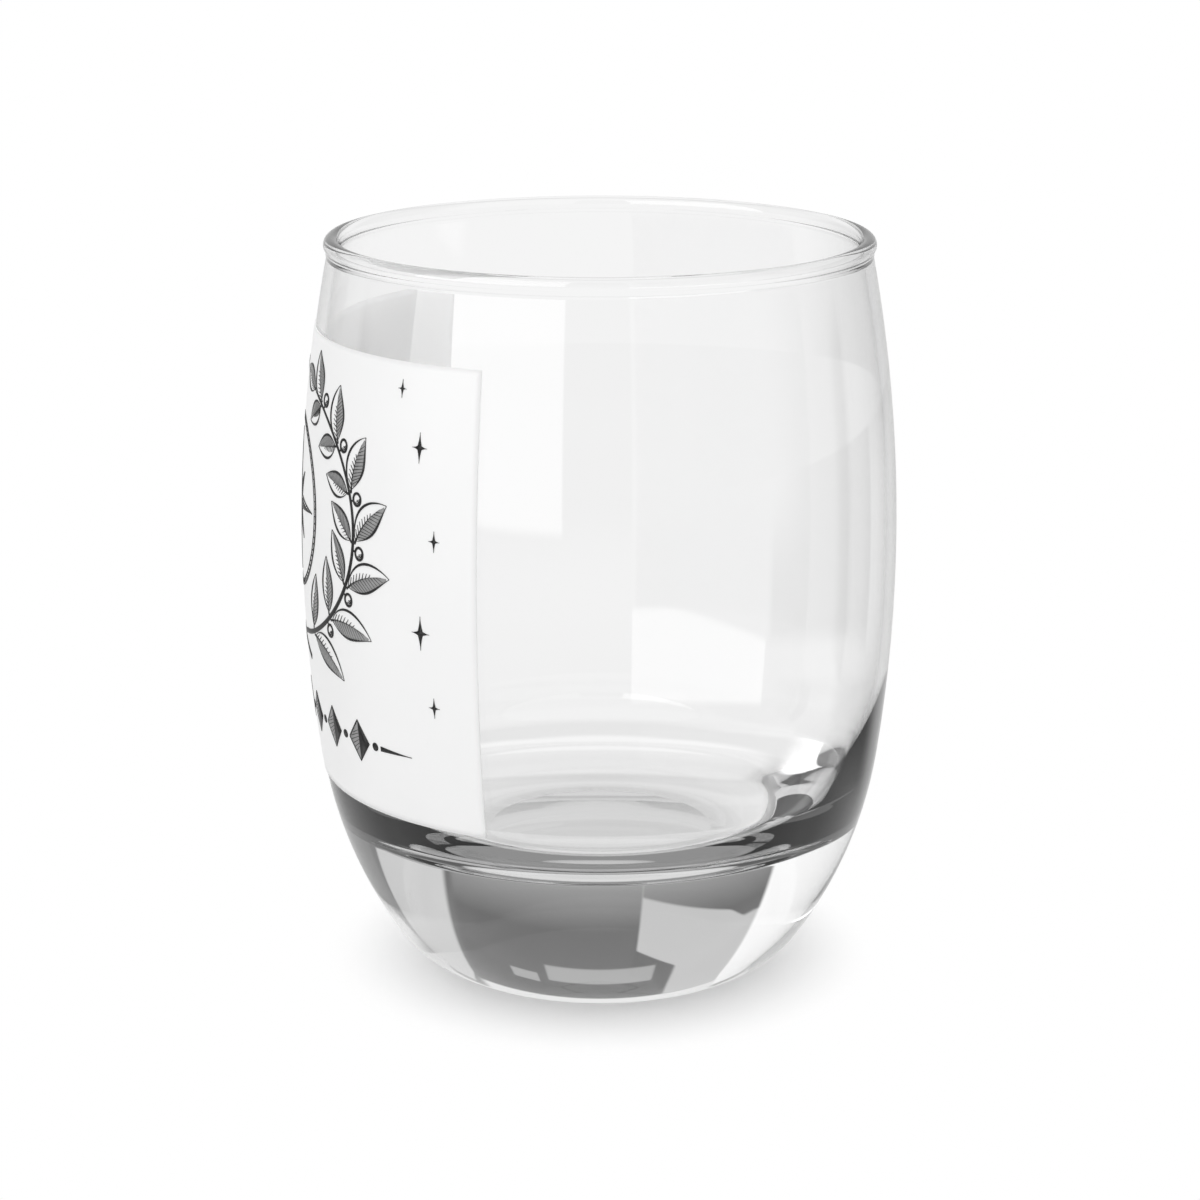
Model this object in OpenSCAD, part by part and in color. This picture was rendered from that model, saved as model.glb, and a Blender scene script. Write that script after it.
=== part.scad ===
// Barrel-shaped whisky tumbler with a panel printed on its side.
// The vessel is one piece of glass: a fire-polished rim bead, a thin
// barrel wall, a heavy solid base and a standing ring round a shallow punt.
// The print lies on it in thin coats: white first, then grey, then black.
// The axis of the glass is Z, the table is at z = 0 and the panel faces -Y.

/* [Vessel] */
// Overall height
glass_h = 89; // [85:0.5:96]
// Widest diameter, at the belly
belly_d = 70.7; // [66:0.1:78]
// Height of the belly above the table
belly_z = 51.5; // [47:0.5:56]
// Radius of the barrel side, seen in profile
side_r = 180; // [150:5:240]
// Height where the side turns into the heel
heel_z = 27; // [24:0.5:30]
// Radius of the heel, seen in profile
heel_r = 52; // [46:1:60]
// Radius of the foot between the heel and the table
foot_r = 11; // [8:0.5:13]

/* [Rim] */
// Thickness of the rolled bead
bead_d = 1.9; // [1.5:0.1:2.6]
// Height of the bead with the neck under it
neck_h = 2.4; // [2.2:0.1:3.5]

/* [Cavity] */
// Thickness of the wall
wall_t = 1.25; // [1:0.05:2]
// Thickness of the solid base
base_t = 18.7; // [12:0.1:20]
// Height where the inside wall starts to close in
cavity_heel_z = 38; // [34:0.5:42]
// Radius of the lower inside wall, seen in profile
cavity_heel_r = 56; // [50:1:64]
// Radius between the inside wall and the floor
cavity_fillet_r = 10.5; // [6:0.5:12]

/* [Foot] */
// Width of the flat ring that the glass stands on
ring_w = 1.6; // [1.2:0.1:4]
// Height of the punt inside the ring
punt_h = 0.6; // [0.4:0.1:3]

/* [Printed panel] */
// Width of the panel, measured round the belly
panel_w = 76; // [64:1:88]
// Height of the panel
panel_h = 53.4; // [46:0.2:56]
// Distance from the panel to the top of the rim
panel_drop = 10.2; // [6:0.2:12]
// Thickness of the white coat
white_t = 0.12; // [0.08:0.01:0.3]
// Thickness of an ink coat
ink_t = 0.05; // [0.04:0.01:0.12]

/* [Wreath] */
// Half width of the oval that the branches follow
wreath_a = 20; // [18:0.5:22]
// Half height of that oval
wreath_b = 15.5; // [14:0.5:16]
// Length of the lowest leaves
leaf_l = 9.6; // [7:0.1:10.4]
// Width of a leaf
leaf_w = 3.3; // [2.4:0.1:4]
// Width of a pen line
pen_w = 0.3; // [0.2:0.02:0.5]
// Diameter of a berry
berry_d = 1.7; // [1.2:0.1:2]

/* [Star] */
// Radius of the long points
star_r = 8.6; // [7:0.1:9]
// Radius of the short points
star_short_r = 5.6; // [4:0.1:6.5]
// Radius of the corners between the points
star_core_r = 2.1; // [1.5:0.1:3]
// Radius of the ring round the star
star_ring_r = 10.2; // [9.4:0.1:11]

/* [Border row] */
// Width of a lozenge
lozenge_w = 4.2; // [3:0.1:5]
// Height of a lozenge
lozenge_h = 5; // [4:0.1:6]
// Distance from one lozenge to the next
lozenge_pitch = 6.4; // [6:0.1:7.4]
// Diameter of the dots between the lozenges
dot_d = 1; // [0.6:0.1:1.2]
// Height of a sparkle
sparkle_h = 3.4; // [2:0.1:4]

/* [Hidden] */

$fn = 96;
right_angle = 90;
straight_angle = 180;
full_angle = 360;
// Room between one coat and the next
film_gap = 0.03;
// Least width of a tapered line's end
tip_w = 0.06;
// Where the bead's round starts, below its own middle
bead_start_angle = 38;
side_steps = 26;
heel_steps = 18;
foot_steps = 12;
bead_steps = 18;
punt_steps = 10;
belly_r = belly_d / 2;
bead_r = bead_d / 2;
neck_z = glass_h - neck_h;
panel_mid_z = glass_h - panel_drop - panel_h / 2;
inner_belly_r = belly_r - wall_t;
inner_side_r = side_r - wall_t;

// Profile of a barrel side with its heel and foot. The values are the
// belly's radius and height, the side's radius, the heel's start and
// radius, the foot's radius and the height of the flat that it runs into.
OUTSIDE = [belly_r, belly_z, side_r, heel_z, heel_r, foot_r, 0];
INSIDE = [inner_belly_r, belly_z, inner_side_r, cavity_heel_z, cavity_heel_r, cavity_fillet_r, base_t];

function side_centre(p) = [p[0] - p[2], p[1]];
function radius_at(c, r, z) = c[0] + sqrt(max(r * r - (z - c[1]) * (z - c[1]), 0));
// The heel's centre lies on the line from the side's centre to their joint
function heel_centre(p) =
    let (c = side_centre(p), joint = [radius_at(c, p[2], p[3]), p[3]])
    joint + (c - joint) * p[4] / p[2];
// The foot touches the heel from inside and the flat from above
function foot_centre(p) =
    let (h = heel_centre(p), dz = p[6] + p[5] - h[1])
    [h[0] + sqrt((p[4] - p[5]) * (p[4] - p[5]) - dz * dz), p[6] + p[5]];
function foot_end(p) =
    let (h = heel_centre(p), f = foot_centre(p))
    h + (f - h) * p[4] / (p[4] - p[5]);
function bearing(c, q) = atan2(q[1] - c[1], q[0] - c[0]);
function between(a, b, share) = a + (b - a) * share;
function polar(a, r) = r * [cos(a), sin(a)];
function arc(c, r, a0, a1, n) = [for (i = [0 : n]) c + polar(between(a0, a1, i / n), r)];
function without_first(q) = [for (i = [1 : len(q) - 1]) q[i]];
function reversed(q) = [for (i = [len(q) - 1 : -1 : 0]) q[i]];

// Runs from the flat outwards and up to the neck
function profile(p) =
    let (c = side_centre(p),
         h = heel_centre(p),
         f = foot_centre(p),
         joint = [radius_at(c, p[2], p[3]), p[3]],
         top = [radius_at(c, p[2], neck_z), neck_z],
         end = foot_end(p))
    concat(arc(f, p[5], -right_angle, bearing(h, end), foot_steps),
           without_first(arc(h, p[4], bearing(h, end), bearing(h, joint), heel_steps)),
           without_first(arc(c, p[2], bearing(c, joint), bearing(c, top), side_steps)));

// Outside radius of the glass at a height, on the side and the heel
function skin_r(z) = z >= heel_z ? radius_at(side_centre(OUTSIDE), side_r, z)
                   : z >= foot_end(OUTSIDE)[1] ? radius_at(heel_centre(OUTSIDE), heel_r, z)
                   : radius_at(foot_centre(OUTSIDE), foot_r, z);

ring_out_r = foot_centre(OUTSIDE)[0];
ring_in_r = ring_out_r - ring_w;
// The punt is a shallow cap whose edge is the ring's inside
punt_r = (ring_in_r * ring_in_r + punt_h * punt_h) / (2 * punt_h);
punt_half = asin(ring_in_r / punt_r);
neck_out_r = radius_at(side_centre(OUTSIDE), side_r, neck_z);
neck_in_r = radius_at(side_centre(INSIDE), inner_side_r, neck_z);
bead_mid = [(neck_out_r + neck_in_r) / 2, glass_h - bead_r];

module glass_body() {
    punt = arc([0, punt_h - punt_r], punt_r, right_angle, right_angle - punt_half, punt_steps);
    bead = arc(bead_mid, bead_r, -bead_start_angle, straight_angle + bead_start_angle, bead_steps);
    color([0.86, 0.9, 0.9, 0.45])
        rotate_extrude()
            polygon(concat(punt, profile(OUTSIDE), bead, reversed(profile(INSIDE)), [[0, base_t]]));
}

// Print coordinates: u runs round the belly to the right of the panel's
// middle, w runs up from it, and off is the height over the glass.
function belly_angle(u) = u / belly_r * straight_angle / PI;
function on_glass(q, off) =
    let (z = panel_mid_z + q[1], r = skin_r(z) + off, a = belly_angle(q[0]))
    [r * sin(a), -r * cos(a), z];
function coat_base(coat) = film_gap + white_t + film_gap + coat * (ink_t + film_gap);
GREY = 0;
BLACK = 1;

// A film's cross-section is four points: low left, low right, high right and high left
function film_points(left, right, coat) =
    let (low = coat_base(coat), high = low + ink_t)
    [for (i = [0 : len(left) - 1])
        each [on_glass(left[i], low), on_glass(right[i], low),
              on_glass(right[i], high), on_glass(left[i], high)]];
function quad(a, b, c, d) = [[a, b, c], [a, c, d]];
function film_side(i, j) =
    [for (k = [0 : 3]) each quad(4 * i + k, 4 * i + (k + 1) % 4, 4 * j + (k + 1) % 4, 4 * j + k)];

// One film of ink between a left and a right edge
module film(left, right, coat) {
    last = len(left) - 1;
    e = 4 * last;
    polyhedron(points = film_points(left, right, coat),
               faces = concat([for (i = [0 : last - 1]) each film_side(i, i + 1)],
                              quad(0, 3, 2, 1), quad(e, e + 1, e + 2, e + 3)));
}

function unit(v) = v / norm(v);
function normal_of(t) = [-t[1], t[0]];
// A pen line along points q, as wide at each point as its entry in w
module pen(q, w, coat = BLACK) {
    last = len(q) - 1;
    n = [for (i = [0 : last]) normal_of(unit(q[min(i + 1, last)] - q[max(i - 1, 0)]))];
    film([for (i = [0 : last]) q[i] + n[i] * w[i] / 2],
         [for (i = [0 : last]) q[i] - n[i] * w[i] / 2], coat);
}
// The same round a closed line, whose last point isn't its first again
module closed_pen(q, w, coat = BLACK) {
    m = len(q);
    n = [for (i = [0 : m - 1]) normal_of(unit(q[(i + 1) % m] - q[(i + m - 1) % m]))];
    polyhedron(points = film_points([for (i = [0 : m - 1]) q[i] + n[i] * w[i] / 2],
                                    [for (i = [0 : m - 1]) q[i] - n[i] * w[i] / 2], coat),
               faces = [for (i = [0 : m - 1]) each film_side(i, (i + 1) % m)]);
}
function circle_line(c, r, n) = [for (i = [0 : n - 1]) c + polar(full_angle * i / n, r)];
function even(q, full) = [for (p = q) full];

// White coat under the whole picture
panel_steps = 24;
module print_white_coat() {
    z0 = panel_mid_z - panel_h / 2;
    zs = [for (i = [0 : panel_steps]) z0 + panel_h * i / panel_steps];
    inner = [for (z = zs) [skin_r(z) + film_gap, z]];
    outer = [for (z = zs) [skin_r(z) + film_gap + white_t, z]];
    turn = belly_angle(panel_w);
    color("white")
        rotate([0, 0, -right_angle - turn / 2])
            rotate_extrude(angle = turn)
                polygon(concat(inner, reversed(outer)));
}

// The wreath: two branches on an oval, crossing below it.
// Shares of the panel's height and of the branch set their places.
wreath_up_share = 0.115;
wreath_mid = [0, panel_h * wreath_up_share];
leaf_nodes = 7;
branch_start_angle = -16;
branch_end_angle = 157;
// Below this angle a branch leaves the oval, so that the two cross
branch_leave_angle = 14;
branch_dip_share = 0.06;
first_node_angle = 24;
last_node_angle = 148;
// Between a leaf and its branch, outside and inside the oval
leaf_spread_angle = 42;
leaf_inner_spread_angle = 56;
leaf_steps = 6;
leaf_bow_share = 0.07;
leaf_shrink_share = 0.34;
leaf_inner_share = 0.8;
leaf_stalk_share = 0.1;
// How far towards its stalk a leaf is widest, and how round it is there
leaf_front_share = 0.85;
leaf_round_share = 0.9;
// Part of a leaf's length over which the slope of its rib is taken
slope_share = 0.01;
function branch_dip(a) =
    let (share = max(branch_leave_angle - a, 0) / (branch_leave_angle - branch_start_angle))
    panel_h * branch_dip_share * share * share;
function branch_at(side, a) = wreath_mid + [side * wreath_a * sin(a), -wreath_b * cos(a) - branch_dip(a)];
function branch_dir(side, a) = atan2(wreath_b * sin(a), side * wreath_a * cos(a));
function node_angle(k) = between(first_node_angle, last_node_angle, k / (leaf_nodes - 1));
// A leaf is [start, direction, length, width, bow]; it starts a short stalk away from its branch
function leaf_from(q, dir, l, w, bow) =
    [q + polar(dir, l * leaf_stalk_share), dir, l * (1 - leaf_stalk_share), w, bow];
function side_leaf(side, k, outer) =
    let (a = node_angle(k),
         size = outer ? 1 : leaf_inner_share,
         turn = side * (outer ? -leaf_spread_angle : leaf_inner_spread_angle),
         l = leaf_l * size * (1 - leaf_shrink_share * k / (leaf_nodes - 1)))
    leaf_from(branch_at(side, a), branch_dir(side, a) + turn, l, leaf_w * size,
              outer ? side * leaf_bow_share * l : 0);
function end_leaf(side) =
    leaf_from(branch_at(side, branch_end_angle), branch_dir(side, branch_end_angle),
              leaf_l * (1 - leaf_shrink_share), leaf_w * leaf_inner_share, 0);
LEAVES = [for (side = [-1, 1])
    each concat([for (k = [0 : leaf_nodes - 1], outer = [true, false]) side_leaf(side, k, outer)],
                [end_leaf(side)])];

// Middle line of a leaf, and half its width, at share s of its length
function rib(leaf, s) =
    let (t = polar(leaf[1], 1))
    leaf[0] + leaf[2] * s * t + 4 * leaf[4] * s * (1 - s) * normal_of(t);
function leaf_half(leaf, s) =
    leaf[3] / 2 * pow(sin(straight_angle * pow(s, leaf_front_share)), leaf_round_share);
function leaf_edge(leaf, s, side) =
    let (d = unit(rib(leaf, min(s + slope_share, 1)) - rib(leaf, max(s - slope_share, 0))))
    rib(leaf, s) + side * leaf_half(leaf, s) * normal_of(d);
grey_start_share = 0.14;
grey_end_share = 0.9;
function shares(from, to, n) = [for (i = [0 : n]) between(from, to, i / n)];

module leaf_grey_ink() {
    color([0.55, 0.55, 0.55])
        for (leaf = LEAVES) {
            ss = shares(grey_start_share, grey_end_share, leaf_steps);
            film([for (s = ss) rib(leaf, s)], [for (s = ss) leaf_edge(leaf, s, -1)], GREY);
        }
}

rib_start_share = 0.13;
rib_end_share = 0.8;
rib_steps = 2;
module leaf_black_ink() {
    color([0.08, 0.08, 0.08])
        for (leaf = LEAVES) {
            up = [for (i = [0 : leaf_steps]) leaf_edge(leaf, i / leaf_steps, 1)];
            down = [for (i = [leaf_steps - 1 : -1 : 1]) leaf_edge(leaf, i / leaf_steps, -1)];
            closed_pen(concat(up, down),
                       [for (i = [0 : 2 * leaf_steps - 1])
                           max(tip_w, pen_w * abs(sin(straight_angle * i / leaf_steps)))]);
            pen([for (s = shares(rib_start_share, rib_end_share, rib_steps)) rib(leaf, s)],
                [for (i = [0 : rib_steps]) max(tip_w, pen_w * (1 - i / rib_steps))]);
        }
}

branch_steps = 32;
// A branch's width where it is cut, as a share of its width at the tip
stem_w_share = 2.2;
module stem_black_ink() {
    color([0.08, 0.08, 0.08])
        for (side = [-1, 1]) {
            ss = shares(0, 1, branch_steps);
            pen([for (s = ss) branch_at(side, between(branch_start_angle, branch_end_angle, s))],
                [for (s = ss) pen_w * between(stem_w_share, 1, s)]);
        }
}

// Berries sit outside the branch, just before the next pair of leaves
berry_steps = 10;
// From the middle of the branch to the berry, as a share of a pen line
berry_gap_share = 1.5;
berry_place_share = 0.88;
module berry_black_ink() {
    color([0.08, 0.08, 0.08])
        for (side = [-1, 1], k = [0 : leaf_nodes - 2]) {
            a = node_angle(k + berry_place_share);
            d = branch_dir(side, a) - right_angle * side;
            c = branch_at(side, a) + polar(d, berry_d / 2 + pen_w * berry_gap_share);
            q = circle_line(c, (berry_d - pen_w) / 2, berry_steps);
            closed_pen(q, even(q, pen_w));
        }
}

// Eight-pointed star. Each point has a dark half and a light half.
star_points = 8;
point_angle = full_angle / star_points;
star_steps = 4;
star_eye_share = 0.12;
// Where a corner between two points lies, along and across a point's axis
corner_t = star_core_r * cos(point_angle / 2);
corner_h = star_core_r * sin(point_angle / 2);
// Half the width of a point that is r long, at t along its axis
function point_half(t, r) = t < corner_t ? corner_h * t / corner_t : corner_h * (r - t) / (r - corner_t);
module star_black_ink() {
    color([0.08, 0.08, 0.08])
        for (k = [0 : star_points - 1]) {
            r = k % 2 == 0 ? star_r : star_short_r;
            t = polar(right_angle + point_angle * k, 1);
            n = normal_of(t);
            outer_ts = [for (s = shares(0, 1, star_steps)) between(corner_t, r, s)];
            // No station lies at the middle or the tip itself, where the width is nothing
            ts = concat([corner_t * star_eye_share],
                        [for (i = [0 : star_steps - 1]) outer_ts[i]], [r - tip_w]);
            film([for (x = ts) wreath_mid + t * x],
                 [for (x = ts) wreath_mid + t * x - n * max(point_half(x, r), tip_w / 2)], BLACK);
            edge = [for (x = outer_ts) wreath_mid + t * x + n * point_half(x, r)];
            pen(edge, even(edge, pen_w / 2));
        }
}

ring_steps = 48;
module star_ring_black_ink() {
    color([0.08, 0.08, 0.08])
        for (line = [[star_ring_r, pen_w], [star_ring_r - 2 * pen_w, pen_w / 2]]) {
            q = circle_line(wreath_mid, line[0], ring_steps);
            closed_pen(q, even(q, line[1]));
        }
}

// Row of lozenges under the wreath, with dots between and a dash at each end
lozenges = 7;
row_down_share = 0.345;
row_w = -panel_h * row_down_share;
dash_l_share = 0.8;
dash_steps = 4;
// A lozenge's half width at five stations up its height
halves_shares = [0, 0.5, 1, 0.5, 0];
lozenge_stations = len(halves_shares) - 1;
function lozenge_up(k, h) = between(-h, h, k / lozenge_stations) / 2;
function lozenge_side(c, side, w, h) =
    [for (k = [0 : lozenge_stations]) c + [side * halves_shares[k] * w / 2, lozenge_up(k, h)]];
function lozenge_middle(c, h) = [for (k = [0 : lozenge_stations]) c + [0, lozenge_up(k, h)]];
// A film needs some width at its tips
function filled(q, c, side) = [for (p = q) [c[0] + side * max(abs(p[0] - c[0]), tip_w), p[1]]];
function row_place(i) = [(i - (lozenges - 1) / 2) * lozenge_pitch, row_w];
module lozenge_grey_ink() {
    color([0.55, 0.55, 0.55])
        for (i = [0 : lozenges - 1]) {
            c = row_place(i);
            h = lozenge_h - 2 * pen_w;
            film(filled(lozenge_side(c, -1, lozenge_w - 2 * pen_w, h), c, -1), lozenge_middle(c, h), GREY);
        }
}

dot_steps = 6;
// A dot's first and last station, where its width would be nothing
dot_end_share = 0.2;
module dot(c, d) {
    as = [for (s = shares(0, 1, dot_steps)) straight_angle * s];
    film([for (a = as) c + d / 2 * [-cos(a), max(sin(a), dot_end_share)]],
         [for (a = as) c + d / 2 * [-cos(a), -max(sin(a), dot_end_share)]], BLACK);
}

module lozenge_black_ink() {
    row_end = (lozenges - 1) / 2 * lozenge_pitch;
    color([0.08, 0.08, 0.08]) {
        for (i = [0 : lozenges - 1]) {
            c = row_place(i);
            film(lozenge_middle(c, lozenge_h),
                 filled(lozenge_side(c, 1, lozenge_w, lozenge_h), c, 1), BLACK);
            edge = lozenge_side(c, -1, lozenge_w, lozenge_h);
            pen(edge, even(edge, pen_w));
        }
        for (i = [0 : lozenges])
            dot([(i - lozenges / 2) * lozenge_pitch, row_w], dot_d);
        for (side = [-1, 1]) {
            x0 = row_end + lozenge_pitch / 2 + dot_d;
            ss = shares(0, 1, dash_steps);
            pen([for (s = ss) [side * (x0 + dash_l_share * lozenge_pitch * s), row_w]],
                [for (s = ss) max(tip_w, pen_w * 2 * (1 - s))]);
        }
    }
}

// Four-pointed sparkles beside the wreath, at shares of the panel's size
sparkle_shares = [[0.4, 0.33, 1], [0.43, 0.14, 0.7], [0.405, -0.06, 1.15],
                  [0.425, -0.22, 0.7], [0.36, 0.445, 0.6]];
sparkle_w_share = 0.2;
sparkle_arm_share = 0.62;
// How far a sparkle's sides are drawn in
sparkle_taper_share = 1.6;
sparkle_steps = 4;
module sparkle_black_ink() {
    color([0.08, 0.08, 0.08])
        for (side = [-1, 1], s = sparkle_shares) {
            c = [side * panel_w * s[0], panel_h * s[1]];
            h = sparkle_h * s[2];
            xs = shares(-1, 1, sparkle_steps);
            w = [for (x = xs) max(tip_w, h * sparkle_w_share * pow(1 - abs(x), sparkle_taper_share))];
            pen([for (x = xs) c + [0, h / 2 * x]], w);
            pen([for (x = xs) c + [h / 2 * sparkle_arm_share * x, 0]], w);
        }
}

glass_body();
print_white_coat();
leaf_grey_ink();
lozenge_grey_ink();
leaf_black_ink();
stem_black_ink();
berry_black_ink();
star_black_ink();
star_ring_black_ink();
lozenge_black_ink();
sparkle_black_ink();
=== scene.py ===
import math

import bmesh
import bpy
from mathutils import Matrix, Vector


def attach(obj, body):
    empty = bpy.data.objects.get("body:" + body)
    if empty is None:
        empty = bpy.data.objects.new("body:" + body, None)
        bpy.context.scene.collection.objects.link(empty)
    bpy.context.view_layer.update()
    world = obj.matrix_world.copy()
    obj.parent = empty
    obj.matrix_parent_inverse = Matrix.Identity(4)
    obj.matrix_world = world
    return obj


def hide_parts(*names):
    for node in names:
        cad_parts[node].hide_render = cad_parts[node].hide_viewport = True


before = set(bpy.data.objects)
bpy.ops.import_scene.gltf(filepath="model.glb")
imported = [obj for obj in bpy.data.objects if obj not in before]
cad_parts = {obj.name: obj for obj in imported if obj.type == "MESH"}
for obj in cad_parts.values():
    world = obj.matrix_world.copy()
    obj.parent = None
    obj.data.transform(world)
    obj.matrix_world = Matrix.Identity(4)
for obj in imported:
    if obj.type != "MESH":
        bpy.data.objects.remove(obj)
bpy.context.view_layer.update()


# The vessel.
# One piece of soda-lime glass, pressed with a thick solid base, blown out to a
# barrel and fire-polished, which rolls the rim into a small round bead.
glass_h = 0.089
belly_r = 0.03535
belly_z = 0.0515
side_r = 0.180
heel_z = 0.027
heel_r = 0.052
foot_r = 0.011
wall_t = 0.00125
base_t = 0.0187
cavity_heel_z = 0.038
cavity_heel_r = 0.056
cavity_fillet_r = 0.0105
bead_r = 0.00095
bead_start = math.radians(38)
neck_h = 0.0024
ring_w = 0.0016
punt_h = 0.0006
vessel_turns = 240
arc_steps = 40
punt_steps = 12
weld_gap = 1e-6
# A corner keeps its smooth shading to a strip this wide on each side
corner_w = 0.00005


def arc(centre, radius, start, end, steps):
    """Points (r, z) along an arc, from the angle start to the angle end."""
    angles = [start + (end - start) * i / steps for i in range(steps + 1)]
    return [(centre[0] + radius * math.cos(a), centre[1] + radius * math.sin(a)) for a in angles]


def bearing(centre, point):
    return math.atan2(point[1] - centre[1], point[0] - centre[0])


def on_circle(centre, radius, z):
    return centre[0] + math.sqrt(radius**2 - (z - centre[1])**2)


def barrel(widest_r, side, heel_start, heel, foot, flat_z):
    """Side, heel and foot arcs that run into each other, as their centres and the first joint."""
    side_mid = (widest_r - side, belly_z)
    joint = (on_circle(side_mid, side, heel_start), heel_start)
    share = 1 - heel / side
    heel_mid = (side_mid[0] + (joint[0] - side_mid[0]) * share,
                side_mid[1] + (joint[1] - side_mid[1]) * share)
    foot_mid_z = flat_z + foot
    reach = math.sqrt((heel - foot)**2 - (foot_mid_z - heel_mid[1])**2)
    foot_mid = (heel_mid[0] + reach, foot_mid_z)
    return side_mid, joint, heel_mid, foot_mid


def barrel_points(widest_r, side, heel_start, heel, foot, flat_z):
    """The same as points from the flat outwards and up to the neck."""
    side_mid, joint, heel_mid, foot_mid = barrel(widest_r, side, heel_start, heel, foot, flat_z)
    neck_z = glass_h - neck_h
    neck = (on_circle(side_mid, side, neck_z), neck_z)
    foot_turn = bearing(heel_mid, foot_mid)
    top_turn = bearing(side_mid, neck) - corner_w / side
    points = arc(foot_mid, foot, -math.pi / 2, foot_turn, arc_steps)
    points += arc(heel_mid, heel, foot_turn, bearing(heel_mid, joint), arc_steps)[1:]
    points += arc(side_mid, side, bearing(side_mid, joint), top_turn, arc_steps)[1:]
    return points + [neck]


outside = barrel_points(belly_r, side_r, heel_z, heel_r, foot_r, 0)
inside = barrel_points(belly_r - wall_t, side_r - wall_t, cavity_heel_z, cavity_heel_r,
                       cavity_fillet_r, base_t)
ring_in_r = outside[0][0] - ring_w
punt_r = (ring_in_r**2 + punt_h**2) / (2 * punt_h)
punt_edge = math.pi / 2 - math.asin(ring_in_r / punt_r)
punt = arc((0, punt_h - punt_r), punt_r, math.pi / 2, punt_edge + corner_w / punt_r, punt_steps)
punt += [(ring_in_r, 0), (ring_in_r + corner_w, 0)]
bead_mid = ((outside[-1][0] + inside[-1][0]) / 2, glass_h - bead_r)
bead = arc(bead_mid, bead_r, -bead_start, math.pi + bead_start, arc_steps)
section = punt + outside + bead + inside[::-1] + [(0, base_t)]

bm = bmesh.new()
line = [bm.verts.new((max(r, 0), 0, z)) for r, z in section]
edges = [bm.edges.new(pair) for pair in zip(line, line[1:])]
bmesh.ops.spin(bm, geom=line + edges, cent=(0, 0, 0), axis=(0, 0, 1),
               angle=2 * math.pi, steps=vessel_turns, use_merge=True)
bmesh.ops.remove_doubles(bm, verts=bm.verts, dist=weld_gap)
bmesh.ops.recalc_face_normals(bm, faces=bm.faces)


def finished(bm, name, material, slot, *replaced):
    """Makes the mesh a piece that rides on the glass and stands for the named nodes."""
    mesh = bpy.data.meshes.new(name)
    bm.to_mesh(mesh)
    bm.free()
    mesh.shade_smooth()
    mesh.materials.append(material)
    piece = bpy.data.objects.new(name, mesh)
    bpy.context.scene.collection.objects.link(piece)
    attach(piece, "root")
    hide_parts(*replaced)


def add(tree, kind, inputs=None, **settings):
    """A shader node with its settings, and its inputs linked or set."""
    node = tree.nodes.new(kind)
    for key, value in settings.items():
        setattr(node, key, value)
    for key, value in (inputs or {}).items():
        if isinstance(value, bpy.types.NodeSocket):
            tree.links.new(value, node.inputs[key])
        else:
            node.inputs[key].default_value = value
    return node


def surface(name):
    """A new material, with its tree and its Principled BSDF."""
    material = bpy.data.materials.new(name)
    material.use_nodes = True
    tree = material.node_tree
    return material, tree, tree.nodes["Principled BSDF"]


glass_ior = 1.5
wave_scale = 60
wave_depth = 0.0006
wave_share = 0.02
glass, tree, shader = surface("fire_polished_glass")
shader.inputs["Base Color"].default_value = (1, 1, 1, 1)
shader.inputs["Roughness"].default_value = 0
shader.inputs["IOR"].default_value = glass_ior
shader.inputs["Transmission Weight"].default_value = 1
place = add(tree, "ShaderNodeTexCoord").outputs["Object"]
# The blown wall is never quite even: long, faint waves
waves = add(tree, "ShaderNodeTexNoise", {"Vector": place, "Scale": wave_scale, "Detail": 1})
wavy = add(tree, "ShaderNodeBump",
           {"Height": waves.outputs["Fac"], "Strength": wave_share, "Distance": wave_depth})
tree.links.new(wavy.outputs["Normal"], shader.inputs["Normal"])
finished(bm, "glass_vessel", glass, "clear_glass", "glass_body")


# The white coat of the print.
# A screen-printed film of white enamel, fired on, that backs the whole
# picture and shows pale grey from behind, through the glass.
panel_w = 0.076
panel_h = 0.0534
panel_drop = 0.0102
white_low = 0.00002
white_high = 0.00015
white_steps_round = 96
white_steps_up = 64
panel_mid_z = glass_h - panel_drop - panel_h / 2
side_mid, _, heel_mid, _ = barrel(belly_r, side_r, heel_z, heel_r, foot_r, 0)


def thicken(bm, low, high):
    """Turns flat work at z = 0 into a closed film between two heights."""
    top = bmesh.ops.extrude_face_region(bm, geom=bm.faces[:])["geom"]
    raised = {item for item in top if isinstance(item, bmesh.types.BMVert)}
    for vert in bm.verts:
        vert.co.z = high if vert in raised else low


def wrap(bm):
    """Lays a film on the glass: x runs round the belly, y up from the panel's middle, z off the glass."""
    for vert in bm.verts:
        along, up, off = vert.co
        z = panel_mid_z + up
        r = on_circle(side_mid, side_r, z) if z > heel_z else on_circle(heel_mid, heel_r, z)
        turn = along / belly_r
        vert.co = ((r + off) * math.sin(turn), -(r + off) * math.cos(turn), z)
    bmesh.ops.recalc_face_normals(bm, faces=bm.faces)


bm = bmesh.new()
bmesh.ops.create_grid(bm, x_segments=white_steps_round, y_segments=white_steps_up, size=0.5)
bmesh.ops.scale(bm, vec=(panel_w, panel_h, 1), verts=bm.verts)
thicken(bm, white_low, white_high)
wrap(bm)

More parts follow.
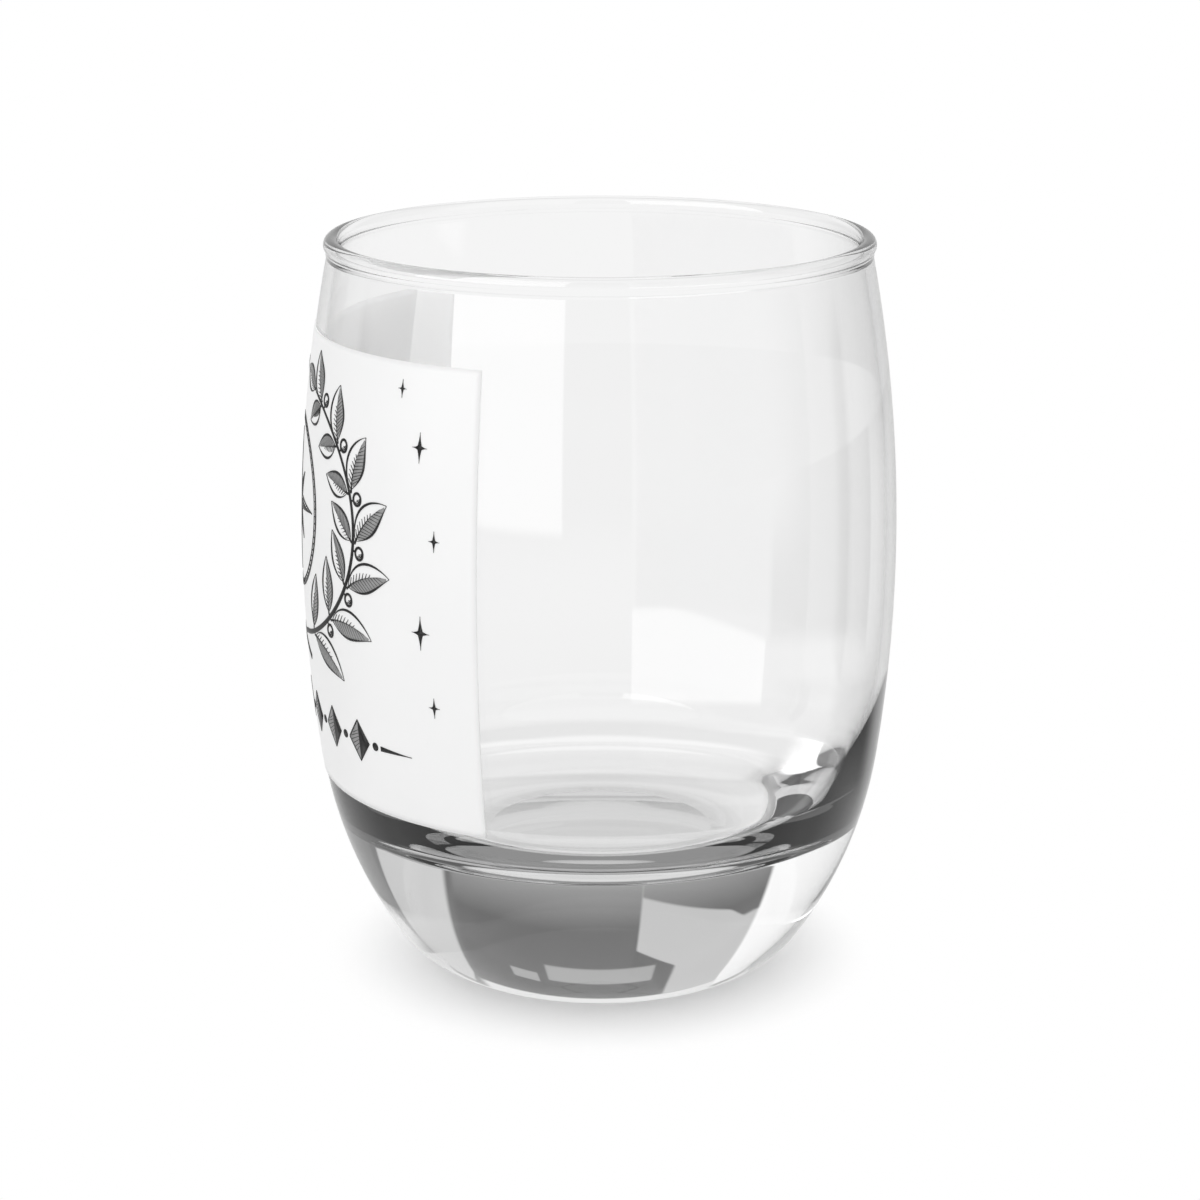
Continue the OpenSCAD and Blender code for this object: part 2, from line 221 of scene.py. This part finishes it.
# Fired enamel: a faint cloud in colour and gloss, and a fine orange peel
cloud_scale = 90
peel_scale = 1400
peel_depth = 0.00002
enamel_specular = 0.3
enamel = bpy.data.node_groups.new("fired_enamel", "ShaderNodeTree")
for name, kind in (("Thin Colour", "NodeSocketColor"), ("Full Colour", "NodeSocketColor"),
                   ("Glossiest", "NodeSocketFloat"), ("Dullest", "NodeSocketFloat"),
                   ("Peel", "NodeSocketFloat")):
    enamel.interface.new_socket(name, in_out="INPUT", socket_type=kind)
for name, kind in (("Colour", "NodeSocketColor"), ("Roughness", "NodeSocketFloat"),
                   ("Normal", "NodeSocketVector")):
    enamel.interface.new_socket(name, in_out="OUTPUT", socket_type=kind)
given = enamel.nodes.new("NodeGroupInput").outputs
given_out = enamel.nodes.new("NodeGroupOutput").inputs
place = add(enamel, "ShaderNodeTexCoord").outputs["Object"]
clouds = add(enamel, "ShaderNodeTexNoise", {"Vector": place, "Scale": cloud_scale, "Detail": 3})
cloud = clouds.outputs["Fac"]
# Sockets 6, 7 and 2 are the Mix node's two colours and its result as a colour
laid = add(enamel, "ShaderNodeMix", {0: cloud, 6: given["Thin Colour"], 7: given["Full Colour"]},
           data_type="RGBA")
enamel.links.new(laid.outputs[2], given_out["Colour"])
dull = add(enamel, "ShaderNodeMapRange",
           {"Value": cloud, "To Min": given["Glossiest"], "To Max": given["Dullest"]})
enamel.links.new(dull.outputs["Result"], given_out["Roughness"])
grain = add(enamel, "ShaderNodeTexNoise", {"Vector": place, "Scale": peel_scale, "Detail": 2})
peel = add(enamel, "ShaderNodeBump",
           {"Height": grain.outputs["Fac"], "Strength": given["Peel"], "Distance": peel_depth})
enamel.links.new(peel.outputs["Normal"], given_out["Normal"])


def enamelled(name, thin, full, glossiest, dullest, peel_share):
    """An enamel colour, from its thinnest to its fullest spots."""
    material, tree, shader = surface(name)
    coat = add(tree, "ShaderNodeGroup", node_tree=enamel)
    values = {"Thin Colour": (thin, thin, thin, 1), "Full Colour": (full, full, full, 1),
              "Glossiest": glossiest, "Dullest": dullest, "Peel": peel_share}
    for key, value in values.items():
        coat.inputs[key].default_value = value
    tree.links.new(coat.outputs["Colour"], shader.inputs["Base Color"])
    tree.links.new(coat.outputs["Roughness"], shader.inputs["Roughness"])
    tree.links.new(coat.outputs["Normal"], shader.inputs["Normal"])
    shader.inputs["Specular IOR Level"].default_value = enamel_specular
    return material


white = enamelled("white_enamel", 0.92, 0.95, 0.3, 0.42, 0.15)
finished(bm, "white_print_coat", white, "white_print", "print_white_coat")


# The branches of the wreath.
# Black enamel, screened over the white: two stems on an oval that cross
# below it, thick where they are cut and thin at their tips.
pen_w = 0.0003
tip_w = 0.00006
ink_low = 0.00012
ink_high = 0.00021
wreath_a = 0.020
wreath_b = 0.0155
wreath_up_share = 0.115
wreath_mid = Vector((0, panel_h * wreath_up_share))
branch_start = math.radians(-16)
branch_end = math.radians(157)
branch_leave = math.radians(14)
branch_dip = panel_h * 0.06
branch_steps = 120
stem_w_share = 2.2
# How far along a line, as a share, a stroke looks to find the line's direction
look_share = 0.01


def band(bm, steps, left, right):
    """Adds a strip of ink between two lines, each a function of the share of its length."""
    for vert in bmesh.ops.create_grid(bm, x_segments=steps, y_segments=1, size=0.5)["verts"]:
        share = min(max(vert.co.x + 0.5, 0), 1)
        point = left(share) if vert.co.y < 0 else right(share)
        vert.co = (point.x, point.y, 0)


def stroke(bm, steps, line, width):
    """Adds a pen stroke along a line, its width a function of the share of its length."""
    def edge(side):
        def point(share):
            ahead = line(min(share + look_share, 1)) - line(max(share - look_share, 0))
            return line(share) + Vector((-ahead.y, ahead.x)).normalized() * side * width(share) / 2
        return point
    band(bm, steps, edge(-1), edge(1))


def polar(angle, radius=1):
    return Vector((math.cos(angle), math.sin(angle))) * radius


def branch_at(side, angle):
    dip = branch_dip * (max(branch_leave - angle, 0) / (branch_leave - branch_start))**2
    return wreath_mid + Vector((side * wreath_a * math.sin(angle), -wreath_b * math.cos(angle) - dip))


def branch_way(side, angle):
    return math.atan2(wreath_b * math.sin(angle), side * wreath_a * math.cos(angle))


def printed(bm, name, material, slot, node):
    """Turns flat ink work into a film on the glass."""
    thicken(bm, ink_low, ink_high)
    wrap(bm)
    finished(bm, name, material, slot, node)


black = enamelled("black_enamel", 0.016, 0.008, 0.35, 0.5, 0.1)
bm = bmesh.new()
for side in (-1, 1):
    stroke(bm, branch_steps,
           lambda share: branch_at(side, branch_start + (branch_end - branch_start) * share),
           lambda share: pen_w * (stem_w_share - (stem_w_share - 1) * share))
printed(bm, "branches_ink", black, "black_ink", "stem_black_ink")


# The leaves.
# Grey enamel on the shaded half of each leaf, then its outline, rib and
# engraver's hatching in black over it.
leaf_nodes = 7
leaf_l = 0.0096
leaf_w = 0.0033
first_node = math.radians(24)
last_node = math.radians(148)
leaf_spread = math.radians(42)
leaf_inner_spread = math.radians(56)
leaf_bow_share = 0.07
leaf_shrink_share = 0.34
leaf_inner_share = 0.8
leaf_stalk_share = 0.1
leaf_belly_power = 0.85
leaf_round_power = 0.9
shade_start, shade_end = 0.06, 0.94
rib_start, rib_end = -0.06, 0.84
rib_w_share = 0.9
hatch_w = 0.00011
dark_hatches = 11
dark_start, dark_end = 0.08, 0.74
dark_lean = 0.15
dark_tip_share = 0.5
light_hatches = 7
light_start, light_end = 0.06, 0.56
light_lean = 0.14
light_reach, light_last_reach = 0.62, 0.3
light_tip_share = 0.3


def node_angle(number):
    return first_node + (last_node - first_node) * number / (leaf_nodes - 1)


class Leaf:
    """A leaf's rib, its half width and its two edges, at a share of its length."""

    def __init__(self, start, way, length, width, bow):
        self.ahead = polar(way)
        self.across = Vector((-self.ahead.y, self.ahead.x))
        self.start = start + self.ahead * length * leaf_stalk_share
        self.length = length * (1 - leaf_stalk_share)
        self.width = width
        self.bow = bow

    def rib(self, share):
        return (self.start + self.ahead * self.length * share
                + self.across * 4 * self.bow * share * (1 - share))

    def half(self, share):
        return self.width / 2 * max(math.sin(math.pi * share**leaf_belly_power), 0)**leaf_round_power

    def edge(self, share, side):
        slope = 4 * self.bow * (1 - 2 * share) / self.length
        across = (self.across - self.ahead * slope).normalized()
        return self.rib(share) + across * side * self.half(share)


leaves = []
for side in (-1, 1):
    for number in range(leaf_nodes):
        angle = node_angle(number)
        full = leaf_l * (1 - leaf_shrink_share * number / (leaf_nodes - 1))
        outer_way = branch_way(side, angle) - side * leaf_spread
        inner_way = branch_way(side, angle) + side * leaf_inner_spread
        leaves.append(Leaf(branch_at(side, angle), outer_way, full, leaf_w, side * leaf_bow_share * full))
        leaves.append(Leaf(branch_at(side, angle), inner_way, full * leaf_inner_share,
                           leaf_w * leaf_inner_share, 0))
    leaves.append(Leaf(branch_at(side, branch_end), branch_way(side, branch_end),
                       leaf_l * (1 - leaf_shrink_share), leaf_w * leaf_inner_share, 0))


def part_way(start, end, share):
    return start + (end - start) * share


grey = enamelled("grey_enamel", 0.34, 0.28, 0.35, 0.5, 0.1)
bm = bmesh.new()
for leaf in leaves:
    band(bm, 16, lambda share: leaf.rib(part_way(shade_start, shade_end, share)),
         lambda share: leaf.edge(part_way(shade_start, shade_end, share), -1))
printed(bm, "leaf_shade_ink", grey, "grey_ink", "leaf_grey_ink")

bm = bmesh.new()
for leaf in leaves:
    for side in (-1, 1):
        stroke(bm, 24, lambda share: leaf.edge(share, side),
               lambda share: max(tip_w, pen_w * math.sin(math.pi * share)))
    stroke(bm, 12, lambda share: leaf.rib(part_way(rib_start, rib_end, share)),
           lambda share: max(tip_w, pen_w * rib_w_share * (1 - share)))
    # Close strokes across the shaded half, and a few short ones on the light half
    for number in range(dark_hatches):
        start = part_way(dark_start, dark_end, number / (dark_hatches - 1))
        stroke(bm, 3, lambda share: part_way(leaf.rib(start), leaf.edge(start + dark_lean, -1), share),
               lambda share: part_way(hatch_w, hatch_w * dark_tip_share, share))
    for number in range(light_hatches):
        start = part_way(light_start, light_end, number / (light_hatches - 1))
        reach = part_way(light_reach, light_last_reach, number / (light_hatches - 1))
        stroke(bm, 3,
               lambda share: part_way(leaf.rib(start), leaf.edge(start + light_lean, 1), share * reach),
               lambda share: part_way(hatch_w, hatch_w * light_tip_share, share))
printed(bm, "leaf_line_ink", black, "black_ink", "leaf_black_ink")


# The berries.
# Small black rings on short stalks beside the stems, each with a shaded side.
berry_d = 0.0017
berry_place_share = 0.88
berry_gap_share = 1.5
berry_line_inset = 1.35 * pen_w
berry_line_pitch = 0.62 * pen_w
berry_line_way = -math.pi / 3
berry_line_spreads = [math.radians(spread) for spread in (78, 64, 50)]
stalk_w_share = 0.7
bm = bmesh.new()
for side in (-1, 1):
    for number in range(leaf_nodes - 1):
        angle = node_angle(number + berry_place_share)
        out = branch_way(side, angle) - side * math.pi / 2
        mid = branch_at(side, angle) + polar(out, berry_d / 2 + pen_w * berry_gap_share)
        stroke(bm, 32, lambda share: mid + polar(2 * math.pi * share, (berry_d - pen_w) / 2),
               lambda share: pen_w)
        for depth, spread in enumerate(berry_line_spreads):
            line_r = berry_d / 2 - berry_line_inset - berry_line_pitch * depth
            stroke(bm, 10, lambda share: mid + polar(berry_line_way + spread * (2 * share - 1), line_r),
                   lambda share: max(tip_w / 2, hatch_w * math.sin(math.pi * share)))
        stalk = mid - polar(out, berry_d / 2)
        stroke(bm, 2, lambda share: part_way(branch_at(side, angle), stalk, share),
               lambda share: pen_w * stalk_w_share)
printed(bm, "berry_ink", black, "black_ink", "berry_black_ink")


# The star.
# Eight points, long and short by turns, each with one half solid black and
# the other half in outline, hatched towards the middle.
star_r = 0.0086
star_short_r = 0.0056
star_core_r = 0.0021
star_points = 8
star_clear_share = 0.1
star_hatches = 6
star_hatch_start, star_hatch_end = 0.08, 0.66
star_hatch_in_share = 0.6
star_hatch_taper = 0.6
core_ahead = star_core_r * math.cos(math.pi / star_points)
core_across = star_core_r * math.sin(math.pi / star_points)
bm = bmesh.new()
for number in range(star_points):
    tip = star_r if number % 2 == 0 else star_short_r
    ahead = polar(math.pi / 2 + 2 * math.pi / star_points * number)
    across = Vector((-ahead.y, ahead.x))
    corner = {side: wreath_mid + ahead * core_ahead + across * core_across * side for side in (-1, 1)}
    point = wreath_mid + ahead * tip
    clear = core_ahead / tip * star_clear_share
    band(bm, 10, lambda share: part_way(wreath_mid, point, part_way(clear, 1, share)),
         lambda share: (part_way(wreath_mid, corner[-1], share * 2) if share < 0.5
                        else part_way(corner[-1], point, share * 2 - 1)))
    stroke(bm, 10, lambda share: part_way(corner[1], point, share), lambda share: pen_w / 2)
    stroke(bm, 4, lambda share: part_way(wreath_mid, corner[1], share), lambda share: pen_w / 2)
    for row in range(star_hatches):
        share = part_way(star_hatch_start, star_hatch_end, row / (star_hatches - 1))
        outer = part_way(corner[1], point, share)
        inner = part_way(wreath_mid + ahead * core_ahead * star_hatch_in_share, point, share)
        stroke(bm, 2, lambda along: part_way(inner, outer, along),
               lambda along: hatch_w * (1 - star_hatch_taper * along))
printed(bm, "star_ink", black, "black_ink", "star_black_ink")


# The ring round the star.
# A bold line and a fine one, with short ticks between them.
star_ring_r = 0.0102
ring_gap = 2 * pen_w
ring_steps = 144
ring_ticks = 72
bm = bmesh.new()
for line_r, line_w in ((star_ring_r, pen_w), (star_ring_r - ring_gap, pen_w / 2)):
    stroke(bm, ring_steps, lambda share: wreath_mid + polar(2 * math.pi * share, line_r),
           lambda share: line_w)
for tick in range(ring_ticks):
    way = 2 * math.pi * tick / ring_ticks
    stroke(bm, 1, lambda share: wreath_mid + polar(way, star_ring_r - ring_gap * share),
           lambda share: hatch_w)
printed(bm, "star_ring_ink", black, "black_ink", "star_ring_black_ink")


# The row of lozenges.
# Grey enamel under their light halves, then black for the dark halves, the
# outlines, the hatching, the dots between and the dash at each end.
lozenges = 7
lozenge_w = 0.0042
lozenge_h = 0.005
lozenge_pitch = 0.0064
lozenge_line_share = 0.8
lozenge_hatches = 6
lozenge_hatch_start, lozenge_hatch_end = 0.2, 0.6
lozenge_hatch_lean = 0.16
lozenge_hatch_taper = 0.5
dot_d = 0.001
dash_share = 0.8
dash_w = pen_w * 2
row_y = -panel_h * 0.345
row_places = [Vector(((number - (lozenges - 1) / 2) * lozenge_pitch, row_y))
              for number in range(lozenges)]


def lozenge_edge(mid, share, side, width, height):
    return mid + Vector((side * width / 2 * (1 - abs(2 * share - 1)), height * (share - 0.5)))


bm = bmesh.new()
for mid in row_places:
    band(bm, 8, lambda share: lozenge_edge(mid, share, -1, lozenge_w - pen_w, lozenge_h - pen_w),
         lambda share: lozenge_edge(mid, share, 0, 0, lozenge_h - pen_w))
printed(bm, "lozenge_shade_ink", grey, "grey_ink", "lozenge_grey_ink")

bm = bmesh.new()
for mid in row_places:
    band(bm, 8, lambda share: lozenge_edge(mid, share, 0, 0, lozenge_h),
         lambda share: lozenge_edge(mid, share, 1, lozenge_w, lozenge_h))
    for half in (0, 1):
        stroke(bm, 4, lambda share: lozenge_edge(mid, (half + share) / 2, -1, lozenge_w, lozenge_h),
               lambda share: pen_w * lozenge_line_share)
    for row in range(lozenge_hatches):
        share = part_way(lozenge_hatch_start, lozenge_hatch_end, row / (lozenge_hatches - 1))
        outer = lozenge_edge(mid, share, -1, lozenge_w, lozenge_h)
        inner = lozenge_edge(mid, share + lozenge_hatch_lean, 0, 0, lozenge_h)
        stroke(bm, 2, lambda along: part_way(outer, inner, along),
               lambda along: hatch_w * (1 - lozenge_hatch_taper * along))
for number in range(lozenges + 1):
    mid = Vector(((number - lozenges / 2) * lozenge_pitch, row_y))
    stroke(bm, 24, lambda share: mid + polar(2 * math.pi * share, dot_d / 4), lambda share: dot_d / 2)
for side in (-1, 1):
    inner = row_places[-1].x + lozenge_pitch / 2 + dot_d
    stroke(bm, 12, lambda share: Vector((side * (inner + dash_share * lozenge_pitch * share), row_y)),
           lambda share: max(tip_w, dash_w * (1 - share)))
printed(bm, "lozenge_line_ink", black, "black_ink", "lozenge_black_ink")


# The sparkles.
# Four-pointed black glints beside the wreath, their sides drawn in.
sparkle_h = 0.0034
sparkle_w_share = 0.62
sparkle_arm_share = 0.4
sparkle_draw_in = 1.6
# Place across and up the panel, as shares of it, and size
sparkle_shares = [(0.4, 0.33, 1), (0.43, 0.14, 0.7), (0.405, -0.06, 1.15),
                  (0.425, -0.22, 0.7), (0.36, 0.445, 0.6)]
bm = bmesh.new()
for side in (-1, 1):
    for across_share, up_share, size in sparkle_shares:
        mid = Vector((side * panel_w * across_share, panel_h * up_share))
        half = sparkle_h * size / 2
        for arm in (Vector((0, half)), Vector((half * sparkle_w_share, 0))):
            stroke(bm, 16, lambda share: mid + arm * (2 * share - 1),
                   lambda share: max(tip_w / 2, half * sparkle_arm_share
                                     * (1 - abs(2 * share - 1))**sparkle_draw_in))
printed(bm, "sparkle_ink", black, "black_ink", "sparkle_black_ink")


# The studio.
# A pale table, and round it a room that the glass sees and bends: a white
# sweep below, soft windows and grey walls above.
camera_turn = math.radians(84)
camera_back = 0.3514
camera_h = 0.1423
camera_pitch = math.radians(15.54)
camera_f_px = 3026.4
picture_px = 1200
sensor_w = 36

camera_data = bpy.data.cameras.new("camera")
camera_data.sensor_width = sensor_w
camera_data.lens = sensor_w * camera_f_px / picture_px
camera = bpy.data.objects.new("camera", camera_data)
bpy.context.scene.collection.objects.link(camera)
camera.location = (camera_back * math.sin(camera_turn), -camera_back * math.cos(camera_turn), camera_h)
camera.rotation_euler = (math.pi / 2 - camera_pitch, 0, camera_turn)
bpy.context.scene.camera = camera
bpy.context.scene.view_settings.view_transform = "Standard"

# The table shows its shadow to the camera near the foot and fades to white
table_r = 0.17
table_grey = 0.83
fade_start_r = 0.018
fade_end_r = 0.034
foot_shade = 0.79
foot_shade_start_r = 0.014
foot_shade_end_r = 0.024
bm = bmesh.new()
bmesh.ops.create_circle(bm, cap_ends=True, segments=128, radius=table_r)
mesh = bpy.data.meshes.new("table")
bm.to_mesh(mesh)
bm.free()
table = bpy.data.objects.new("table", mesh)
bpy.context.scene.collection.objects.link(table)
table_paint, tree, shader = surface("table")
shader.inputs["Base Color"].default_value = (table_grey, table_grey, table_grey, 1)
shader.inputs["Roughness"].default_value = 1
shader.inputs["Specular IOR Level"].default_value = 0
place = add(tree, "ShaderNodeTexCoord").outputs["Object"]
far = add(tree, "ShaderNodeVectorMath", {0: place}, operation="LENGTH")
fade = add(tree, "ShaderNodeMapRange",
           {"Value": far.outputs["Value"], "From Min": fade_start_r, "From Max": fade_end_r},
           interpolation_type="SMOOTHSTEP")
paths = add(tree, "ShaderNodeLightPath")
plain_white = add(tree, "ShaderNodeMath",
                  {0: fade.outputs["Result"], 1: paths.outputs["Is Camera Ray"]}, operation="MULTIPLY")
glow = add(tree, "ShaderNodeEmission", {"Color": (1, 1, 1, 1), "Strength": 1})
seen = add(tree, "ShaderNodeMixShader",
           {0: plain_white.outputs[0], 1: shader.outputs[0], 2: glow.outputs[0]})
# In the glass the sweep below the horizon shows in its place, darker in the foot's own shadow
under = add(tree, "ShaderNodeMapRange",
            {"Value": far.outputs["Value"], "From Min": foot_shade_start_r, "From Max": foot_shade_end_r,
             "To Min": foot_shade, "To Max": 1}, interpolation_type="SMOOTHSTEP")
in_glass = add(tree, "ShaderNodeMath",
               {0: paths.outputs["Is Transmission Ray"], 1: paths.outputs["Is Glossy Ray"]},
               operation="MAXIMUM")
clear = add(tree, "ShaderNodeBsdfTransparent", {"Color": under.outputs["Result"]})
both = add(tree, "ShaderNodeMixShader", {0: in_glass.outputs[0], 1: seen.outputs[0], 2: clear.outputs[0]})
tree.links.new(both.outputs[0], tree.nodes["Material Output"].inputs["Surface"])
mesh.materials.append(table_paint)

# A white card stands round the glass at the height of its rim, for what the bead bends upwards.
# It is duller on the right, and its level differs for light from the print and deep in the glass.
card_r = 0.075
card_low_z = 0.062
card_high_z = 0.19
card_level = 0.92
card_level_right = 0.76
card_dull_start = 0.028
card_dull_end = 0.046
card_level_on_print = 2.4
card_level_deep = 0.5
bm = bmesh.new()
bmesh.ops.create_cone(bm, segments=96, radius1=card_r, radius2=card_r, depth=card_high_z - card_low_z)
bmesh.ops.translate(bm, vec=(0, 0, (card_low_z + card_high_z) / 2), verts=bm.verts)
mesh = bpy.data.meshes.new("card")
bm.to_mesh(mesh)
bm.free()
card = bpy.data.objects.new("card", mesh)
bpy.context.scene.collection.objects.link(card)
card_paint, tree, _ = surface("card")
right = (math.cos(camera_turn), math.sin(camera_turn), 0)
place = add(tree, "ShaderNodeTexCoord").outputs["Object"]
across = add(tree, "ShaderNodeVectorMath", {0: place, 1: right}, operation="DOT_PRODUCT")
dulled = add(tree, "ShaderNodeMapRange",
             {"Value": across.outputs["Value"], "From Min": card_dull_start, "From Max": card_dull_end,
              "To Min": card_level, "To Max": card_level_right}, interpolation_type="SMOOTHSTEP")
paths = add(tree, "ShaderNodeLightPath")


def more_than(count, depth):
    """1 where the light has met more surfaces of a kind than count, else 0."""
    met = paths.outputs[depth]
    return add(tree, "ShaderNodeMath", {0: met, 1: count + 0.5}, operation="GREATER_THAN").outputs[0]


inner = add(tree, "ShaderNodeMapRange", {"Value": more_than(1, "Glossy Depth"),
                                         "To Min": dulled.outputs[0], "To Max": card_level_deep})
level = add(tree, "ShaderNodeMapRange", {"Value": more_than(0, "Diffuse Depth"),
                                         "To Min": inner.outputs[0], "To Max": card_level_on_print})
glow = add(tree, "ShaderNodeEmission", {"Color": (1, 1, 1, 1), "Strength": level.outputs[0]})
tree.links.new(glow.outputs[0], tree.nodes["Material Output"].inputs["Surface"])
mesh.materials.append(card_paint)
card.visible_camera = False
card.visible_diffuse = False
card.visible_glossy = False
card.visible_shadow = False

# The room is painted on the world, by its turn from straight ahead and its climb from the horizon
world = bpy.data.worlds.new("studio")
bpy.context.scene.world = world
world.use_nodes = True
tree = world.node_tree
sky = add(tree, "ShaderNodeTexCoord").outputs["Generated"]
away = (-math.sin(camera_turn), math.cos(camera_turn), 0)
ahead = add(tree, "ShaderNodeVectorMath", {0: sky, 1: away}, operation="DOT_PRODUCT").outputs["Value"]
aside = add(tree, "ShaderNodeVectorMath", {0: sky, 1: right}, operation="DOT_PRODUCT").outputs["Value"]
turn = add(tree, "ShaderNodeMath", {0: aside, 1: ahead}, operation="ARCTAN2").outputs[0]
up = add(tree, "ShaderNodeSeparateXYZ", {0: sky}).outputs["Z"]
climb = add(tree, "ShaderNodeMath", {0: up}, operation="ARCSINE").outputs[0]


def step(value, edge, softness):
    """Rises from 0 to 1 as value passes edge, all in degrees."""
    low, high = math.radians(edge - softness), math.radians(edge + softness)
    rise = add(tree, "ShaderNodeMapRange", {"Value": value, "From Min": low, "From Max": high},
               interpolation_type="SMOOTHSTEP")
    return rise.outputs["Result"]


def product(*factors):
    total = factors[0]
    for factor in factors[1:]:
        total = add(tree, "ShaderNodeMath", {0: total, 1: factor}, operation="MULTIPLY").outputs[0]
    return total


def inverse(value):
    return add(tree, "ShaderNodeMath", {0: 1.0, 1: value}, operation="SUBTRACT").outputs[0]


def leaning(value, other, slope):
    """value less slope times other, for an edge that isn't upright or level."""
    lean = add(tree, "ShaderNodeMath", {0: other, 1: -slope, 2: value}, operation="MULTIPLY_ADD")
    return lean.outputs[0]


def blend_level(old, new, mask):
    mix = add(tree, "ShaderNodeMix", {"Factor": mask}, data_type="FLOAT")
    for socket, value in ((mix.inputs[2], old), (mix.inputs[3], new)):
        if isinstance(value, bpy.types.NodeSocket):
            tree.links.new(value, socket)
        else:
            socket.default_value = value
    return mix.outputs[0]


def window(level, new, left, right_edge, bottom, top, softness, lean=0, rise=0):
    """Puts a patch of another brightness in the room, its edges in degrees.
    lean moves the sides with the height, and rise moves top and bottom with the turn."""
    leaned = leaning(turn, climb, lean)
    raised = leaning(climb, turn, rise)
    mask = product(step(leaned, left, softness), inverse(step(leaned, right_edge, softness)),
                   step(raised, bottom, softness), inverse(step(raised, top, softness)))
    return blend_level(level, new, mask)


facing = add(tree, "ShaderNodeMath", {0: turn}, operation="ABSOLUTE").outputs[0]
paths = add(tree, "ShaderNodeLightPath")
through_glass = paths.outputs["Is Transmission Ray"]

# The sweep, from the horizon down: the climb at which each level starts, its softness, the level
level = 0.38
for start, softness, sweep_level in ((-8, 4, 0.9), (-38, 2, 0.8), (-47, 2, 0.95)):
    level = blend_level(level, sweep_level, inverse(step(climb, start, softness)))

# The room above it, dark ahead and at both sides, and light overhead
ahead_level = 0.14
back_level = 0.45
side_level = 0.18
side_start = 50
side_end = 112
room = blend_level(ahead_level, back_level, step(facing, side_end, 2))
level = blend_level(level, room, step(climb, 0, 1))
level = window(level, side_level, side_start, side_end, -18, 50, 1)
level = window(level, side_level, -side_end, -side_start, -18, 50, 1)
level = blend_level(level, 0.85, product(step(climb, 34, 2), inverse(step(facing, 30, 2))))
level = blend_level(level, 1.0, step(climb, 52, 3))

# The wall ahead grows darker upwards
wall = add(tree, "ShaderNodeMapRange",
           {"Value": climb, "From Min": 0, "From Max": math.radians(9), "To Min": 0.36, "To Max": 0.11})
wall_level = wall.outputs["Result"]
level = window(level, wall_level, -30, 22.5, 0, 34, 0.7, lean=0.25)
# Two narrow panes high in it
level = window(level, 0.38, -10, 10, 17.3, 22, 0.4)
level = window(level, 0.38, 12, 17.5, 20.3, 23.3, 0.3)
# A paler part on the left with a slanting edge, and a bar of wall across it
level = window(level, 0.55, -31, -6, -6.3, 8.7, 0.3, rise=-0.72)
level = window(level, 0.55, -31, -14, 12, 34, 0.6)
level = window(level, wall_level, -30, -6, -4.5, 1.25, 0.3, rise=-0.375)
# A pale screen on the right and the large window on the left
level = window(level, 0.63, 24, 44, 0, 40, 0.7, lean=0.25)
level = window(level, 1.03, -70, -29, -11, 40, 0.7)

# Windows behind the camera, which the near wall mirrors
level = window(level, 2.8, -166, -100, -8, 55, 0.7)
tall_window = product(step(turn, 100, 16), inverse(step(turn, 168, 0.7)), step(climb, -10, 5),
                      inverse(step(climb, 55, 1)))
level = blend_level(level, 1.15, tall_window)
low_window_top = step(leaning(climb, turn, 0.09), -28.2, 0.5)
low_window = product(step(turn, 114, 0.5), inverse(step(turn, 168, 0.5)), step(climb, -23, 0.5),
                     inverse(step(climb, -14.5, 0.5)), inverse(low_window_top))
level = blend_level(level, 3.0, low_window)
level = window(level, 1.3, 92, 164, -28.5, -25.5, 0.5)

# Seen through the glass, that side of the room is plain and grows darker upwards
behind = add(tree, "ShaderNodeMapRange",
             {"Value": climb, "From Min": 0, "From Max": math.radians(25), "To Min": 0.85, "To Max": 0.4})
level = blend_level(level, behind.outputs["Result"], product(through_glass, step(facing, side_end, 4)))

# Straight through both walls the bright backdrop shows, but for a gap on each side
gap = product(step(facing, 25, 3), inverse(step(facing, 60, 4)))
backdrop = product(more_than(3, "Transmission Depth"), step(climb, -18.5, 0.7),
                   inverse(step(climb, -3, 2)), inverse(gap))
level = blend_level(level, 0.9, backdrop)

# At a glancing angle the outside of the glass mirrors the same backdrop, and beside it dark walls
outside = inverse(more_than(0, "Transmission Depth"))
glancing = product(outside, paths.outputs["Is Glossy Ray"], inverse(step(facing, 74, 4)))
beside = product(step(facing, 36, 8), step(climb, -24, 3))
level = blend_level(level, blend_level(0.8, 0.3, beside), glancing)

# Light that is thrown about inside the glass comes from the room's dark corners
deep = add(tree, "ShaderNodeMapRange",
           {"Value": paths.outputs["Glossy Depth"], "From Min": 1.5, "From Max": 2.2})
corner_level = blend_level(0.08, 0.26, inverse(step(facing, 28, 8)))
corner_level = blend_level(corner_level, 0.7, more_than(2, "Transmission Depth"))
level = blend_level(level, corner_level, deep.outputs["Result"])

# Everything else is lit evenly, at the level at which a colour shows as it is written
bent = add(tree, "ShaderNodeMath", {0: paths.outputs["Is Glossy Ray"], 1: through_glass},
           operation="MAXIMUM")
lit = add(tree, "ShaderNodeMath",
          {0: more_than(0, "Diffuse Depth"), 1: inverse(bent.outputs[0])}, operation="MAXIMUM")
level = blend_level(level, blend_level(1.03, 1.35, through_glass), lit.outputs[0])
level = blend_level(level, 1.0, paths.outputs["Is Camera Ray"])
background = tree.nodes["Background"]
background.inputs["Color"].default_value = (1, 1, 1, 1)
tree.links.new(level, background.inputs["Strength"])
